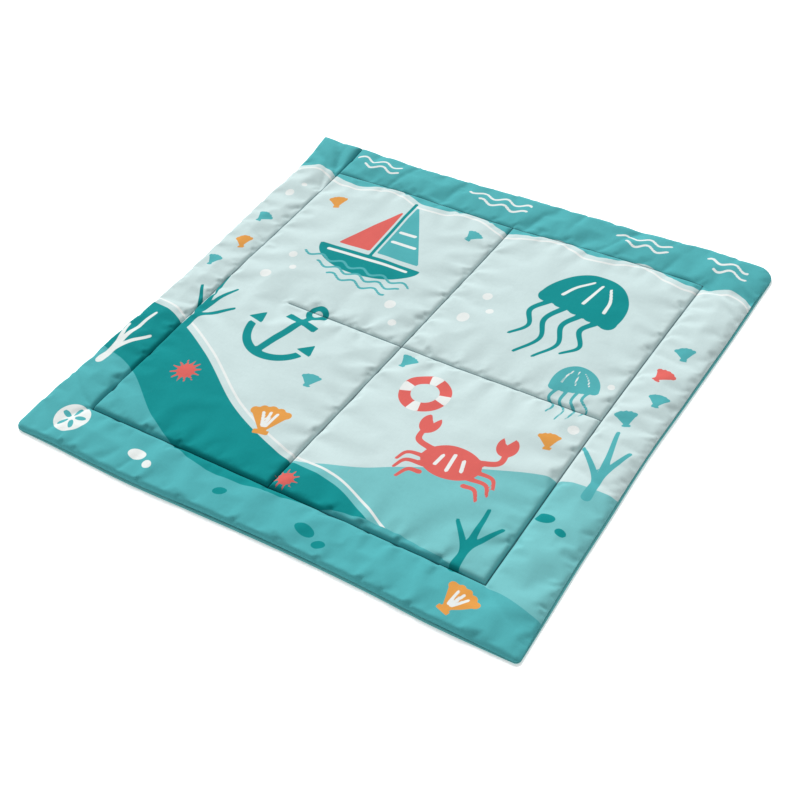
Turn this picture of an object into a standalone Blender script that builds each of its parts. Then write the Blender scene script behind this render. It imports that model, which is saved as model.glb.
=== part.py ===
"""A square baby play mat that lies flat: a quilted, padded front panel sewn to a plain back panel.

Units are metres, +Z is up, and the origin is on the floor under the middle of the mat.
+X runs along the near side to the right, and +Y runs to the far side.

Both panels are worked out in cloth coordinates, in which the outline is a true square and every
seam a straight line. The plan then moves those lines to where the sewn cloth really lies.
"""

import bmesh
import bpy
import numpy as np

# Driving dimensions
HALF = 0.500               # half of the mat's side
SEAM = 0.400               # from the middle to the seam that sets the border off
ROW_START = -0.250         # the seam across the middle stops short of the left seam
BACK_THICKNESS = 0.0012    # the back panel's cloth
GAP = 0.0003               # between the two panels
PINCH = 0.0015             # padding left under a line of stitches

# The padding's crown
STEEP_RISE = 0.0085        # the quick rise beside a seam, and how far from the seam it reaches
STEEP_REACH = 0.0065
SLOW_RISE = 0.0080         # the slow rise towards the middle of a panel
SLOW_REACH = 0.070
GROOVE = 0.0014            # how far the stitches draw the underside up
GROOVE_WIDTH = 0.003       # half of that groove
LUMP = 0.0007              # slow unevenness of the padding
LUMP_LENGTH = 0.170

# The outer edge, where the back panel turns up to meet the front
EDGE_LIFT = 0.0042         # height of the sewn edge over the padding's underside
EDGE_TURN = 0.010          # how far in the back panel leaves the floor
EDGE_SOFTNESS = 0.016      # how far in the front panel feels that lift
CORNER_REACH = 0.070       # how far from a corner it is thinner, or fuller, than the sides

# Grid lines: close together beside a seam, evenly spaced between
BESIDE_SEAM = (GROOVE_WIDTH, EDGE_TURN, 0.024)
BORDER_STEPS = 3
FIELD_STEPS = 12

LEVEL = 0.9999999          # a face is level if its normal is this upright
MERGE_ANGLE = 0.001        # radians, for the joins between level faces
SMOOTH_ANGLE = 0.9         # radians; sharper edges stay crisp

# Lines of stitches in cloth coordinates
# name, start x, start y, end x, end y
SEAMS = (
    ("left", -SEAM, -SEAM, -SEAM, HALF),
    ("right", SEAM, -SEAM, SEAM, SEAM),
    ("near", -SEAM, -SEAM, SEAM, -SEAM),
    ("far", -SEAM, SEAM, SEAM, SEAM),
    ("row", ROW_START, 0.0, SEAM, 0.0),
    ("column", 0.0, -SEAM, 0.0, SEAM),
)

# How far each grid line of the cloth lies from its straight place, along that line
# place along the line, shift towards +X or +Y
LEFT_EDGE = ((-0.50, -0.001), (-0.42, -0.002), (-0.30, 0.002), (-0.20, 0.002), (-0.12, 0.007),
             (0.08, 0.005), (0.22, 0.001), (0.36, 0.000), (0.44, -0.004), (0.50, -0.007))
LEFT_SEAM = ((-0.50, -0.003), (-0.40, -0.003), (0.00, -0.008), (0.40, -0.009), (0.50, -0.014))
COLUMN = ((-0.50, -0.020), (-0.40, -0.018), (-0.15, -0.009), (0.10, -0.001), (0.40, 0.007), (0.50, 0.008))
RIGHT_SEAM = ((-0.50, -0.006), (-0.40, -0.006), (0.00, -0.006), (0.25, -0.001), (0.40, 0.003), (0.50, 0.003))
RIGHT_EDGE = ((-0.50, 0.006), (-0.40, 0.004), (-0.30, 0.001), (-0.20, 0.000), (-0.04, -0.003),
              (0.12, 0.001), (0.30, 0.005), (0.50, 0.006))
NEAR_EDGE = ((-0.50, 0.004), (-0.42, 0.003), (-0.34, 0.000), (-0.24, -0.003), (-0.08, 0.000),
             (0.10, 0.003), (0.26, 0.000), (0.36, -0.005), (0.50, -0.004))
NEAR_SEAM = ((-0.50, 0.002), (-0.40, 0.002), (0.00, 0.000), (0.40, -0.003), (0.50, -0.003))
ROW = ((-0.50, 0.000), (-0.25, -0.003), (0.10, -0.009), (0.40, -0.008), (0.50, -0.008))
FAR_SEAM = ((-0.50, -0.008), (-0.40, -0.008), (-0.28, -0.005), (0.00, -0.010), (0.19, -0.003), (0.50, -0.007))
FAR_EDGE = ((-0.50, 0.004), (-0.43, 0.001), (-0.35, -0.006), (-0.26, -0.011), (-0.16, -0.012),
            (-0.05, -0.007), (0.10, -0.005), (0.30, -0.001), (0.40, 0.002), (0.50, -0.002))

ACROSS = (-HALF, -SEAM, 0.0, SEAM, HALF)
X_GUIDES = (LEFT_EDGE, LEFT_SEAM, COLUMN, RIGHT_SEAM, RIGHT_EDGE)
Y_GUIDES = (NEAR_EDGE, NEAR_SEAM, ROW, FAR_SEAM, FAR_EDGE)

# Corners: side of x, side of y, radius of the rounded tip, fullness of the padding there
CORNERS = (
    (-1, -1, 0.016, 0.55),
    (1, -1, 0.009, 0.60),
    (1, 1, 0.030, 0.75),
    (-1, 1, 0.012, 1.90),
)

# Main folds, as soft troughs in the border
# start x, start y, end x, end y, depth, half of the width
FOLDS = (
    (-0.452, 0.488, -0.418, 0.420, 0.0045, 0.013),
    (-0.488, 0.440, -0.425, 0.405, 0.0035, 0.012),
    (-0.345, 0.490, -0.368, 0.430, 0.0025, 0.013),
    (-0.140, 0.462, -0.172, 0.415, 0.0022, 0.015),
    (0.060, 0.470, 0.025, 0.418, 0.0022, 0.015),
    (0.225, 0.480, 0.145, 0.418, 0.0040, 0.018),
    (0.405, 0.400, 0.490, 0.395, 0.0040, 0.015),
    (0.452, 0.452, 0.494, 0.425, 0.0026, 0.013),
    (-0.300, -0.492, -0.275, -0.450, 0.0025, 0.014),
    (0.455, -0.380, 0.494, -0.300, 0.0020, 0.018),
)

CLOTH_FRONT = (0.62, 0.83, 0.83, 1.0)
CLOTH_BACK = (0.25, 0.58, 0.58, 1.0)
CLOTH_ROUGHNESS = 0.9


def start_empty():
    """Remove whatever the opened file holds."""
    for thing in list(bpy.data.objects):
        bpy.data.objects.remove(thing, do_unlink=True)


def smooth_curve(rows, at):
    """Values at the places `at` of a smooth curve through the (place, value) rows."""
    places, values = np.array(rows).T
    slopes = np.gradient(values, places)
    k = np.clip(np.searchsorted(places, at) - 1, 0, len(places) - 2)
    span = places[k + 1] - places[k]
    t = (at - places[k]) / span
    start = (1 + 2 * t) * (1 - t) ** 2 * values[k] + t * (1 - t) ** 2 * span * slopes[k]
    end = t ** 2 * (3 - 2 * t) * values[k + 1] + t ** 2 * (t - 1) * span * slopes[k + 1]
    return start + end


def grid_lines():
    """Where the grid lines run across the cloth, from one edge to the other."""
    near = np.array(BESIDE_SEAM)
    marks = []
    for start, end in zip(ACROSS, ACROSS[1:]):
        steps = FIELD_STEPS if end - start > HALF - SEAM + near[0] else BORDER_STEPS
        between = np.linspace(start + near[-1], end - near[-1], steps + 1)
        marks += [start, *(start + near[:-1]), *between, *(end - near[-2::-1])]
    return np.array(marks + [HALF])


def guided(guides, place, along):
    """A cloth coordinate moved with the guides on both sides of it."""
    shifts = np.array([smooth_curve(guide, along) for guide in guides])
    k = np.clip(np.searchsorted(ACROSS, place, side="right") - 1, 0, len(ACROSS) - 2)
    start, end = np.array(ACROSS)[k], np.array(ACROSS)[k + 1]
    share = (place - start) / (end - start)
    each = np.arange(len(place))
    return place + (1 - share) * shifts[k, each] + share * shifts[k + 1, each]


def rounded_corners(x, y):
    """Cloth coordinates with each square tip drawn in to its round corner."""
    x, y = x.copy(), y.copy()
    for side_x, side_y, radius, _ in CORNERS:
        a = side_x * x - (HALF - radius)
        b = side_y * y - (HALF - radius)
        tip = (a > 0) & (b > 0)
        keep = np.maximum(a, b)[tip] / np.hypot(a, b)[tip]
        x[tip] = side_x * (HALF - radius + a[tip] * keep)
        y[tip] = side_y * (HALF - radius + b[tip] * keep)
    return x, y


def plan(x, y):
    """Where points of the cloth lie on the floor."""
    round_x, round_y = rounded_corners(x, y)
    return guided(X_GUIDES, round_x, y), guided(Y_GUIDES, round_y, x)


def distance_to_line(x, y, line):
    """How far points are from a straight line with two ends."""
    start_x, start_y, end_x, end_y = line
    run_x, run_y = end_x - start_x, end_y - start_y
    t = np.clip(((x - start_x) * run_x + (y - start_y) * run_y) / (run_x ** 2 + run_y ** 2), 0, 1)
    return np.hypot(x - start_x - t * run_x, y - start_y - t * run_y)


def distance_to_seam(x, y):
    return np.min([distance_to_line(x, y, line) for _, *line in SEAMS], axis=0)


def distance_to_edge(x, y):
    return np.maximum(HALF - np.maximum(abs(x), abs(y)), 0)


def near_corner(x, y, side_x, side_y):
    """1 at a corner of the cloth, falling to 0 away from it."""
    away = np.hypot(x - side_x * HALF, y - side_y * HALF)
    return np.exp(-(away / CORNER_REACH) ** 2)


def corner_share(x, y):
    """What part of the padding's crown is there: 1 except near the corners."""
    share = np.ones_like(x)
    for side_x, side_y, _, fullness in CORNERS:
        share += (fullness - 1) * near_corner(x, y, side_x, side_y)
    return share


def edge_lift(x, y):
    """How far the sewn outer edge is raised, less near the corners."""
    flat = sum(near_corner(x, y, side_x, side_y) for side_x, side_y, _, _ in CORNERS)
    return EDGE_LIFT * (1 - 0.6 * flat)


def underside(x, y):
    """Height of the padding's lower face over the inside of the back panel."""
    groove = GROOVE * np.clip(1 - distance_to_seam(x, y) / GROOVE_WIDTH, 0, 1)
    turn = edge_lift(x, y) * np.clip(1 - distance_to_edge(x, y) / EDGE_TURN, 0, 1) ** 1.5
    return np.maximum(groove, turn)


def crown(x, y):
    """Height of the padded face over the padding's flat underside."""
    to_seam = np.minimum(distance_to_seam(x, y), distance_to_edge(x, y))
    steep = STEEP_RISE * (1 - np.exp(-to_seam / STEEP_REACH))
    slow = SLOW_RISE * (1 - np.exp(-to_seam / SLOW_REACH))
    lump = LUMP * np.sin(2 * np.pi * x / LUMP_LENGTH + 3 * y) * np.cos(2 * np.pi * y / LUMP_LENGTH - 2 * x)
    rise = (steep + slow) * corner_share(x, y) + lump * (1 - np.exp(-to_seam / STEEP_REACH))
    room = 1 - np.exp(-to_seam / STEEP_REACH)
    for *line, depth, half_width in FOLDS:
        rise -= depth * room * np.exp(-(distance_to_line(x, y, line) / half_width) ** 2)
    drawn_up = GROOVE * np.exp(-distance_to_seam(x, y) / GROOVE_WIDTH)
    lift = edge_lift(x, y) * np.exp(-distance_to_edge(x, y) / EDGE_SOFTNESS)
    return np.maximum(drawn_up, lift) + PINCH + rise


def panel(name, lower, upper, colour, collection):
    """A closed panel between two heights, each a function of the cloth coordinates."""
    marks = grid_lines()
    steps = len(marks) - 1
    shape = bmesh.new()
    bmesh.ops.create_grid(shape, x_segments=steps, y_segments=steps, size=0.5)
    floor_side = shape.verts[:]
    columns = np.array([round((v.co.x + 0.5) * steps) for v in floor_side])
    rows = np.array([round((v.co.y + 0.5) * steps) for v in floor_side])
    x, y = marks[columns], marks[rows]
    raised = bmesh.ops.extrude_face_region(shape, geom=shape.faces[:])["geom"]
    face_side = {(v.co.x, v.co.y): v for v in raised if isinstance(v, bmesh.types.BMVert)}
    plan_x, plan_y = plan(x, y)
    low, high = lower(x, y), upper(x, y)
    for i, vertex in enumerate(floor_side):
        other = face_side[vertex.co.x, vertex.co.y]
        other.co = (plan_x[i], plan_y[i], high[i])
        vertex.co = (plan_x[i], plan_y[i], low[i])
    bmesh.ops.recalc_face_normals(shape, faces=shape.faces[:])
    merge_level_faces(shape)
    return finished(name, shape, colour, collection)


def merge_level_faces(shape):
    """Join the level faces, so that a flat underside has no needless grid lines."""
    level = [
        edge for edge in shape.edges
        if all(abs(face.normal.z) > LEVEL for face in edge.link_faces)
    ]
    ends = sorted({vertex for edge in level for vertex in edge.verts}, key=lambda vertex: vertex.index)
    bmesh.ops.dissolve_limit(shape, angle_limit=MERGE_ANGLE, verts=ends, edges=level)


def finished(name, shape, colour, collection):
    """The object for a shape, with its own material."""
    mesh = bpy.data.meshes.new(name)
    shape.to_mesh(mesh)
    shape.free()
    mesh.shade_smooth()
    mesh.set_sharp_from_angle(angle=SMOOTH_ANGLE)
    material = bpy.data.materials.new(name)
    material.use_nodes = True
    surface = material.node_tree.nodes["Principled BSDF"]
    surface.inputs["Base Color"].default_value = colour
    surface.inputs["Roughness"].default_value = CLOTH_ROUGHNESS
    surface.inputs["Metallic"].default_value = 0.0
    mesh.materials.append(material)
    piece = bpy.data.objects.new(name, mesh)
    collection.objects.link(piece)
    return piece


def centre_on_origin(pieces):
    """Move the pieces so that the origin is under the middle of the mat's outline."""
    points = np.array([corner for piece in pieces for corner in piece.bound_box])
    middle = (points.min(0) + points.max(0)) / 2
    for piece in pieces:
        piece.location.x = -middle[0]
        piece.location.y = -middle[1]


def main():
    start_empty()
    mat = bpy.data.collections.new("play_mat")
    bpy.context.scene.collection.children.link(mat)
    inside = BACK_THICKNESS + GAP
    front = panel(
        "front_panel",
        lambda x, y: inside + underside(x, y),
        lambda x, y: inside + crown(x, y),
        CLOTH_FRONT,
        mat,
    )
    back = panel(
        "back_panel",
        underside,
        lambda x, y: BACK_THICKNESS + underside(x, y),
        CLOTH_BACK,
        mat,
    )
    centre_on_origin([front, back])


main()
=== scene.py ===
"""Looks of a quilted, printed baby play mat that lies flat on a pale floor.

Units are metres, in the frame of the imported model: +Z is up, and the origin is on the floor under
the middle of the mat. The panels are worked out in cloth coordinates, in which the outline is a
true square and every line of quilting is straight. The plan then moves those lines to where the
sewn cloth really lies. The print is drawn in the same cloth coordinates, so it bends with the cloth.
"""

import bpy
import numpy as np
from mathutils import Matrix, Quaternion, Vector


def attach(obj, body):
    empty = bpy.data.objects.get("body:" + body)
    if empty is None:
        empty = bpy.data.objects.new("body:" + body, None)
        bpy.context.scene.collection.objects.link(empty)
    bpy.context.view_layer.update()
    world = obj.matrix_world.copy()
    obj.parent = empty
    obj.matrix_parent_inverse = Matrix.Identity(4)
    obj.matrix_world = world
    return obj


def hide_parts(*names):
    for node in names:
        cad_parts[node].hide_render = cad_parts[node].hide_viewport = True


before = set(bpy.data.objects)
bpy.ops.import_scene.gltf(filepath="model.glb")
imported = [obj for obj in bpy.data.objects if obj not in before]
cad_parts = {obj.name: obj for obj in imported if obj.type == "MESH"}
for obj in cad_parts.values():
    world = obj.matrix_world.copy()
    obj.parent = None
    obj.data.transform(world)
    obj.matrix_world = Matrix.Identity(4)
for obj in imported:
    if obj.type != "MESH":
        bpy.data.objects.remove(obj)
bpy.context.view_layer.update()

# The mat's own sizes, those of the solids with steeper banks beside the seams
HALF = 0.500               # half of the mat's side
SEAM = 0.400               # from the middle to the seam that sets the border off
ROW_START = -0.250         # the seam across the middle stops short of the left seam
LEFT_CHANGE = 0.335        # from here to the far edge, the left seam is drawn ever tighter
BACK_THICKNESS = 0.0012    # the back panel's cloth
GAP = 0.0003               # between the two panels
PINCH = 0.0015             # padding left under a line of stitches
STEEP_RISE = 0.0078        # the bank beside a seam, and how far from the seam it reaches
STEEP_REACH = 0.0056
BANK_SHARPNESS = 4         # how suddenly the bank turns level
SLOW_RISE = 0.0088         # the slow rise towards the middle of a panel
SLOW_REACH = 0.055
GROOVE = 0.0014            # how far the stitches draw the underside up
GROOVE_WIDTH = 0.003       # half of that groove
LUMP = 0.0007              # slow unevenness of the padding
LUMP_LENGTH = 0.170
LUMP_SLANT = (3, -2)       # how far the lumps lie aslant, in radians for each metre
DENT = 0.0007              # smaller dents
DENT_LENGTH = 0.040
EDGE_LIFT = 0.0042         # height of the sewn edge over the padding's underside
EDGE_SOFTNESS = 0.016      # how far in the front panel feels that lift
CORNER_REACH = 0.070       # how far from a corner it is thinner, or fuller, than the sides
CORNER_DROP = 0.6          # what part of the edge's lift is missing at a corner
SHORT_STEP = 0.001         # a short way along the cloth, to find which way a line heads
DENT_SEED, INSET_SEED, SPARE_SEED = 11, 5, 21

# Lines of stitches in cloth coordinates, and how tightly each is drawn down at its two ends
# name, start x, start y, end x, end y, tightness at the start, tightness at the end
SEAMS = (
    ("left", -SEAM, -SEAM, -SEAM, LEFT_CHANGE, 1.05, 0.42),
    ("left_end", -SEAM, LEFT_CHANGE, -SEAM, HALF, 0.42, 1.30),
    ("right", SEAM, -SEAM, SEAM, SEAM, 1.05, 0.62),
    ("near", -SEAM, -SEAM, SEAM, -SEAM, 1.10, 1.10),
    ("far", -SEAM, SEAM, SEAM, SEAM, 0.45, 0.50),
    ("row", ROW_START, 0.0, SEAM, 0.0, 0.45, 0.70),
    ("column", 0.0, -SEAM, 0.0, SEAM, 1.00, 0.60),
)
CREASE_RISE = 0.0026       # a sharper rise right beside a line of stitches, and its reach
CREASE_REACH = 0.0012

# How far each guide line of the cloth lies from its straight place, along that line
# place along the line, shift towards +X or +Y
LEFT_EDGE = (
    (-0.5, -0.001), (-0.42, -0.002), (-0.3, 0.002), (-0.2, 0.002), (-0.12, 0.007),
    (0.08, 0.005), (0.22, 0.001), (0.36, 0.0), (0.44, -0.007), (0.5, -0.015),
)
LEFT_SEAM = ((-0.5, -0.003), (-0.4, -0.003), (0.0, -0.008), (0.4, -0.009), (0.5, -0.014))
COLUMN = ((-0.5, -0.02), (-0.4, -0.018), (-0.15, -0.009), (0.1, -0.001), (0.4, 0.007), (0.5, 0.008))
RIGHT_SEAM = ((-0.5, -0.006), (-0.4, -0.006), (0.0, -0.006), (0.25, -0.001), (0.4, 0.003), (0.5, 0.003))
RIGHT_EDGE = (
    (-0.5, 0.006), (-0.4, 0.004), (-0.3, 0.001), (-0.2, 0.0), (-0.04, -0.003),
    (0.12, 0.001), (0.3, 0.005), (0.5, 0.006),
)
NEAR_EDGE = (
    (-0.5, 0.004), (-0.42, 0.003), (-0.34, 0.0), (-0.24, -0.003), (-0.08, 0.0),
    (0.1, 0.003), (0.26, 0.0), (0.36, -0.005), (0.5, -0.004),
)
NEAR_SEAM = ((-0.5, 0.002), (-0.4, 0.002), (0.0, 0.0), (0.4, -0.003), (0.5, -0.003))
ROW = ((-0.5, 0.0), (-0.25, -0.003), (0.1, -0.009), (0.4, -0.008), (0.5, -0.008))
FAR_SEAM = ((-0.5, -0.008), (-0.4, -0.008), (-0.28, -0.005), (0.0, -0.01), (0.19, -0.003), (0.5, -0.007))
FAR_EDGE = (
    (-0.5, -0.004), (-0.43, -0.004), (-0.35, -0.007), (-0.26, -0.011), (-0.16, -0.012),
    (-0.05, -0.007), (0.1, -0.005), (0.3, -0.001), (0.4, 0.002), (0.5, -0.002),
)
MIDDLE = np.array((-0.0003, -0.0009))   # of the mat's outline in the plan, as in the solids
ACROSS = (-HALF, -SEAM, 0.0, SEAM, HALF)
X_GUIDES = (LEFT_EDGE, LEFT_SEAM, COLUMN, RIGHT_SEAM, RIGHT_EDGE)
Y_GUIDES = (NEAR_EDGE, NEAR_SEAM, ROW, FAR_SEAM, FAR_EDGE)

# Outer edges: side of x, side of y, and how many times wider than at a seam its bank is
EDGES = ((0, -1, 1.1), (1, 0, 3.0), (0, 1, 2.0), (-1, 0, 1.6))

# Corners: side of x, side of y, radius of the rounded tip, fullness of the padding there
CORNERS = (
    (-1, -1, 0.016, 0.55),
    (1, -1, 0.009, 0.60),
    (1, 1, 0.030, 0.75),
    (-1, 1, 0.009, 1.25),
)

# Main folds of the border, as in the solids
# start x, start y, end x, end y, depth, width
FOLDS = (
    (-0.452, 0.488, -0.418, 0.420, 0.0045, 0.013),
    (-0.488, 0.440, -0.425, 0.405, 0.0035, 0.012),
    (-0.345, 0.490, -0.368, 0.430, 0.0025, 0.013),
    (-0.140, 0.462, -0.172, 0.415, 0.0022, 0.015),
    (0.060, 0.470, 0.025, 0.418, 0.0022, 0.015),
    (0.225, 0.480, 0.145, 0.418, 0.0040, 0.018),
    (0.405, 0.400, 0.490, 0.395, 0.0040, 0.015),
    (0.452, 0.452, 0.494, 0.425, 0.0026, 0.013),
    (-0.300, -0.492, -0.275, -0.450, 0.0025, 0.014),
    (0.455, -0.380, 0.494, -0.300, 0.0020, 0.018),
)

# Sharp creases that the stitches gather into the cloth
# depth at the start and the end, width on the left and the right, then the points along it
CREASES = (
    (0.0020, 0.0052, 0.0110, 0.0055, (-0.433, 0.485), (-0.431, 0.453), (-0.410, 0.400)),
    (0.0010, 0.0056, 0.0110, 0.0050, (-0.448, 0.430), (-0.424, 0.380), (-0.403, 0.332)),
    (0.0030, 0.0015, 0.0100, 0.0060, (-0.351, 0.492), (-0.347, 0.421)),
    (0.0015, 0.0028, 0.0100, 0.0055, (-0.262, 0.475), (-0.283, 0.405)),
    (0.0018, 0.0030, 0.0100, 0.0055, (-0.151, 0.465), (-0.164, 0.403)),
    (0.0012, 0.0030, 0.0100, 0.0055, (0.042, 0.460), (0.022, 0.405)),
    (0.0026, 0.0012, 0.0090, 0.0050, (0.113, 0.488), (0.103, 0.436)),
    (0.0042, 0.0026, 0.0130, 0.0060, (0.228, 0.490), (0.205, 0.440), (0.180, 0.404)),
    (0.0010, 0.0022, 0.0090, 0.0055, (0.335, 0.462), (0.318, 0.405)),
    (0.0020, 0.0042, 0.0060, 0.0120, (0.440, 0.434), (0.462, 0.420), (0.495, 0.401)),
    (0.0050, 0.0028, 0.0060, 0.0120, (0.402, 0.400), (0.425, 0.390), (0.471, 0.376), (0.500, 0.363)),
    (0.0015, 0.0040, 0.0065, 0.0120, (0.440, 0.372), (0.462, 0.356), (0.494, 0.336)),
    (0.0040, 0.0012, 0.0090, 0.0055, (-0.404, -0.398), (-0.440, -0.382), (-0.480, -0.352)),
    (0.0036, 0.0020, 0.0055, 0.0090, (-0.404, -0.406), (-0.420, -0.440), (-0.434, -0.486)),
    (0.0010, 0.0032, 0.0070, 0.0070, (-0.240, -0.445), (-0.254, -0.492)),
    (0.0034, 0.0012, 0.0060, 0.0070, (0.404, -0.404), (0.436, -0.432), (0.474, -0.452)),
    (0.0024, 0.0010, 0.0090, 0.0060, (0.405, -0.120), (0.462, -0.140)),
    (0.0020, 0.0010, 0.0090, 0.0060, (0.405, 0.190), (0.455, 0.182)),
    (0.0024, 0.0010, 0.0060, 0.0090, (-0.405, -0.090), (-0.458, -0.104)),
    (0.0020, 0.0010, 0.0090, 0.0060, (-0.405, 0.130), (-0.460, 0.150)),
)

# Grid lines of the fine meshes: distances beside a seam, and the spacing between
FINE_BESIDE = (0.0008, 0.0018, 0.0032, 0.0052, 0.0078, 0.0105)
FINE_SPACING = 0.0038
BACK_BESIDE = (0.0016, 0.0032, 0.0050, 0.0075, 0.0100)
BACK_SPACING = 0.0125
HIDDEN_BESIDE = (0.0052, 0.0105)
HIDDEN_SPACING = 0.055

# The edge seam lies a little inside the outline, as the back panel bulges out under it
SEAM_INSET = 0.0030
INSET_REACH = 0.010        # how far in the front panel follows the seam
INSET_UNEVEN = 0.25        # how uneven the inset is, and over what length
INSET_UNEVEN_LENGTH = 0.11
INSET_CORNER_DROP = 0.85   # what part of the inset is missing at a corner

# The front panel's rim, rolled under to the edge seam
# inset from the seam, drop from the rim's height
FRONT_RIM = ((0.0003, 0.0006), (0.0026, 0.0010))

# The back panel's rim, from the edge seam out, down and under to the flat underside
# distance along the cloth, inset, share of the seam's inset, share of the seam's height
BACK_RIM = (
    (0.0000, 0.0010, 1.00, 1.00),
    (0.0016, 0.0002, 0.45, 0.88),
    (0.0032, 0.0000, 0.00, 0.50),
    (0.0050, 0.0006, 0.00, 0.16),
    (0.0075, 0.0050, 0.00, 0.02),
    (0.0100, 0.0100, 0.00, 0.00),
)
RIM_IN, RIM_UP = 0.0011, 0.0002   # from the back panel's outer face to its inner, at the edge seam

# The cloth simulation, which gathers the face beside its seams
SIM_LINES = 161            # grid lines across the mat, some of which fall on the seams
SIM_FRAMES = 20
SIM_SPARE = 0.035          # how much longer the cloth is than the seam it is gathered into
SIM_GATHER_REACH = 0.030   # how far from a seam that spare length reaches
SIM_UNEVEN = 0.35          # how uneven the spare length is, and over what length
SIM_UNEVEN_LENGTH = 0.13
SIM_HELD_REACH = 0.0010    # points this near a seam don't move
SIM_PADDING_HOLD = 0.10    # how firmly the padding holds the cloth between the seams
SIM_CAP = 0.0030           # the furthest that a point may move
SIM_SETTINGS = {
    "quality": 6,
    "mass": 0.15,
    "tension_stiffness": 12.0,
    "compression_stiffness": 12.0,
    "shear_stiffness": 3.0,
    "bending_stiffness": 2.0,
    "vertex_group_mass": "held",
    "pin_stiffness": 1.0,
    "vertex_group_shrink": "without_spare",
    "shrink_min": -SIM_SPARE,
    "shrink_max": 0.0,
}

# Stitches
STITCH_PITCH = 0.0034
STITCH_LENGTH = 0.0026
STITCH_RADIUS = 0.00028
STITCH_SIDES = 5
# The rings of a stitch from end to end, in parts of its half length and of its radius
# place along it, radius, height of its arch
STITCH_RINGS = ((-1, 0.45, -0.5), (-0.6, 1.0, 0.35), (0.6, 1.0, 0.35), (1, 0.45, -0.5))

# Camera and light
CAMERA_AT = (1.0818, -1.5250, 1.6778)
CAMERA_AIM = (0.0525, -0.1117, 0.0)
CAMERA_ROLL = 0.0985       # radians
CAMERA_LENS = 62.91        # millimetres
CAMERA_SENSOR = 36.0       # millimetres wide
LIGHT_LEVEL = 1.13         # how bright the studio makes a level white face
SKY_STRENGTH = 0.46
SUN_STRENGTH = 3.3
SUN_SOFTNESS = 0.45        # radians across, so that its shadows are soft
SUN_TOWARDS = (1.0, -1.0, -1.25)
FLOOR_GLOW = 0.30          # the floor is lit from below too, which thins the mat's shadow
FLOOR_HALF = 12.0
FLOOR_DROP = 0.0002        # how far the floor lies under the mat


def linear(red, green, blue):
    """A colour given as it looks on a screen, from 0 to 255, in linear light."""
    share = np.array((red, green, blue)) / 255
    low, high = share / 12.92, ((share + 0.055) / 1.055) ** 2.4
    return (*np.where(share <= 0.04045, low, high), 1.0)


def dimmed(colour, share):
    return tuple(share * part for part in colour[:3]) + (1.0,)


def dyed(red, green, blue):
    """A cloth's own colour, from the colour that it shows in the studio."""
    return dimmed(linear(red, green, blue), 1 / LIGHT_LEVEL)


# Colours of the cloth and the print
PALE = dyed(206, 226, 226)
MID_TEAL = dyed(84, 178, 183)
LIGHT_TEAL = dyed(122, 197, 200)
DARK_TEAL = dyed(12, 144, 146)
WHITE = dyed(236, 241, 239)
ORANGE = dyed(230, 160, 78)
CORAL = dyed(224, 104, 98)
BACK_TEAL = dyed(104, 190, 192)
THREAD = dyed(128, 190, 192)
FLOOR = linear(252, 252, 252)

# Layers of the print, in the order in which they lie over one another
PRINT_COLOURS = (
    ("band", MID_TEAL),
    ("light_dune", LIGHT_TEAL),
    ("dune", DARK_TEAL),
    ("front_dune", MID_TEAL),
    ("dark", DARK_TEAL),
    ("mid", MID_TEAL),
    ("orange", ORANGE),
    ("coral", CORAL),
    ("pale", WHITE),
)
FAR_AWAY = 0.2             # distance to a layer that has no shape nearby
PRINT_EDGE = 0.0004        # half of the soft width of a colour's edge
LINE_AWAY = 0.014          # a white line runs this far outside the sea and the dark dune
LINE_WIDTH = 0.0046
PAINTED_CREASE_SHADE = (0.22, 0.26, 0.30, 1.0)   # painted shade: the cloth's colour is multiplied by this right in a line of stitches, where the crease lies in shadow
CREASE_SHADE_REACH = 0.0018

# The woven cotton, and the finish of each material
THREAD_PITCH = 0.0007
THREAD_DEPTH = 0.00025
SLUBS = (60, 1400)         # in a metre, along a thread and across it
CRINKLES = 75.0            # in a metre
CRINKLE_DEPTH = 0.0012
BUMP_STRENGTH = 0.35
MOTTLES = 14.0             # lighter and darker patches of dye in a metre
COTTON = {"Roughness": 0.88, "Sheen Weight": 0.025, "Sheen Roughness": 0.5, "Specular IOR Level": 0.07}
SPUN = {"Roughness": 0.6, "Sheen Weight": 0.2}
PAINT = {"Roughness": 0.9, "Emission Color": FLOOR, "Emission Strength": FLOOR_GLOW}


# Cloth coordinates and the plan


def smooth_curve(rows, at):
    """Values at the places `at` of a smooth curve through the (place, value) rows."""
    places, values = np.array(rows).T
    slopes = np.gradient(values, places)
    k = np.clip(np.searchsorted(places, at) - 1, 0, len(places) - 2)
    span = places[k + 1] - places[k]
    t = (at - places[k]) / span
    start = (1 + 2 * t) * (1 - t) ** 2 * values[k] + t * (1 - t) ** 2 * span * slopes[k]
    end = t ** 2 * (3 - 2 * t) * values[k + 1] + t ** 2 * (t - 1) * span * slopes[k + 1]
    return start + end


def grid_lines(beside, spacing):
    """Where grid lines run across the cloth: close together beside a seam, evenly spaced between."""
    near = np.array(beside)
    marks = []
    for start, end in zip(ACROSS, ACROSS[1:]):
        steps = max(1, round((end - start - 2 * near[-1]) / spacing))
        between = np.linspace(start + near[-1], end - near[-1], steps + 1)
        marks += [start, *(start + near[:-1]), *between, *(end - near[-2::-1])]
    return np.array(marks + [HALF])


def guided(guides, place, along):
    """A cloth coordinate moved with the guides on both sides of it."""
    shifts = np.array([smooth_curve(guide, along) for guide in guides])
    k = np.clip(np.searchsorted(ACROSS, place, side="right") - 1, 0, len(ACROSS) - 2)
    start, end = np.array(ACROSS)[k], np.array(ACROSS)[k + 1]
    share = (place - start) / (end - start)
    each = np.arange(len(place))
    return place + (1 - share) * shifts[k, each] + share * shifts[k + 1, each]


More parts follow.
